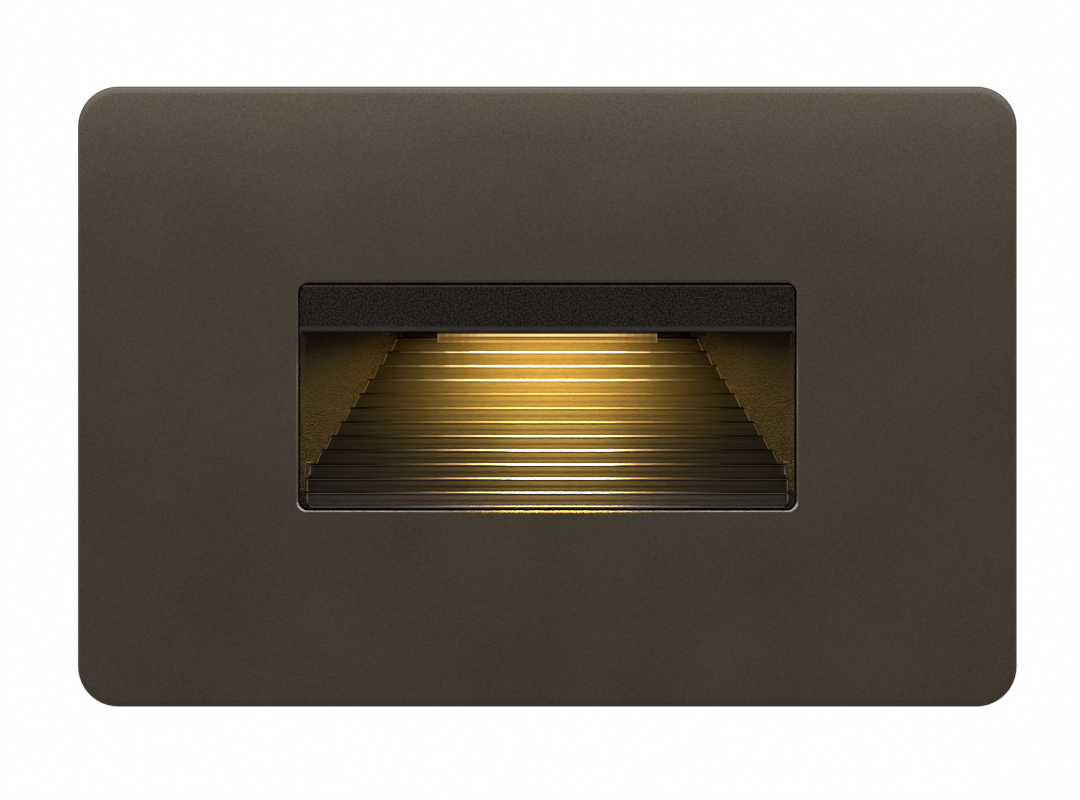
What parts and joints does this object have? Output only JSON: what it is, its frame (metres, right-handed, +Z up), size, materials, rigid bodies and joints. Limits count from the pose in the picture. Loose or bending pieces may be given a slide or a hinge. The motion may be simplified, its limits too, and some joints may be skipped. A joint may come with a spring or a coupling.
{
  "type": "step light",
  "caption": "Low wide recessed step light: bronze face plate around a black hooded well with a ribbed, amber-lit sloping reflector, on a wall-box strap.",
  "frame": {"origin": "on the wall's surface, behind the middle of the face plate", "axes": "+X to the right and +Z up as the light is seen on its wall, +Y into the wall"},
  "size_m": [0.1142, 0.0519, 0.0754],
  "materials": {
    "bronze_coat": "satin bronze powder coat with a fine grain",
    "black_coat": "matt black textured powder coat",
    "dark_gloss": "glossy dark ribbed reflector",
    "lit_acrylic": "frosted acrylic, lit from above",
    "led_phosphor": "yellow phosphor under clear resin",
    "zinc_steel": "zinc-plated steel",
    "green_steel": "green-passivated steel",
    "black_steel": "black oxide steel",
    "foam": "closed-cell black foam",
    "gasket_rubber": "moulded rubber",
    "white_board": "white solder mask on aluminium",
    "pad_silicone": "grey-blue silicone pad",
    "bare_aluminium": "bare extruded aluminium",
    "black_plastic": "matt black moulded plastic",
    "bushing_nylon": "black nylon",
    "green_board": "green circuit board",
    "ferrite": "grey ferrite",
    "winding_tape": "yellow tape over a copper coil",
    "capacitor_sleeve": "dark shrink sleeve",
    "film_box": "ochre box capacitor",
    "component_black": "black epoxy",
    "fuse_glass": "glass tube fuse with metal caps",
    "varistor_blue": "blue epoxy",
    "terminal_green": "green terminal block",
    "connector_white": "white connector",
    "lead_red": "red silicone insulation",
    "lead_black": "black silicone insulation"
  },
  "bodies": {
    "wall_side": {"mounting_strap": "zinc_steel", "wall_gasket": "foam", "box_screws": "zinc_steel", "ground_screw": "green_steel"},
    "fixture": {"face_plate": "bronze_coat", "well_gasket": "gasket_rubber", "light_well": "black_coat", "well_screws": "zinc_steel", "ribbed_reflector": "dark_gloss", "reflector_screws": "zinc_steel", "lens": "lit_acrylic", "lens_gasket": "gasket_rubber", "led_chips": "led_phosphor", "led_board": "white_board", "thermal_pad": "pad_silicone", "heat_sink": "bare_aluminium", "led_board_screws": "zinc_steel", "heat_sink_screws": "zinc_steel", "driver_housing": "black_plastic", "driver_housing_screws": "zinc_steel", "lead_grommet": "gasket_rubber", "cover_gasket": "gasket_rubber", "rear_cover": "black_plastic", "cover_screws": "zinc_steel", "cable_bushing": "bushing_nylon", "driver_board": "green_board", "driver_board_screws": "zinc_steel", "transformer_core": "ferrite", "transformer_winding": "winding_tape", "bulk_capacitor": "capacitor_sleeve", "film_capacitor": "film_box", "bridge_rectifier": "component_black", "switching_chip": "component_black", "fuse": "fuse_glass", "varistor": "varistor_blue", "input_terminal_block": "terminal_green", "output_connector": "connector_white", "led_lead_red": "lead_red", "led_lead_black": "lead_black"},
    "set_left": {"set_screw_left": "black_steel"},
    "set_right": {"set_screw_right": "black_steel"}
  },
  "joints": [
    {"name": "front_lift_off", "type": "slide", "parent": "wall_side", "child": "fixture", "axis": [0, -1, 0], "range_m": [0, 0.055]},
    {"name": "left_set_screw_out", "type": "slide", "parent": "fixture", "child": "set_left", "axis": [0, 0, -1], "range_m": [0, 0.002]},
    {"name": "right_set_screw_out", "type": "slide", "parent": "fixture", "child": "set_right", "axis": [0, 0, -1], "range_m": [0, 0.002]}
  ]
}
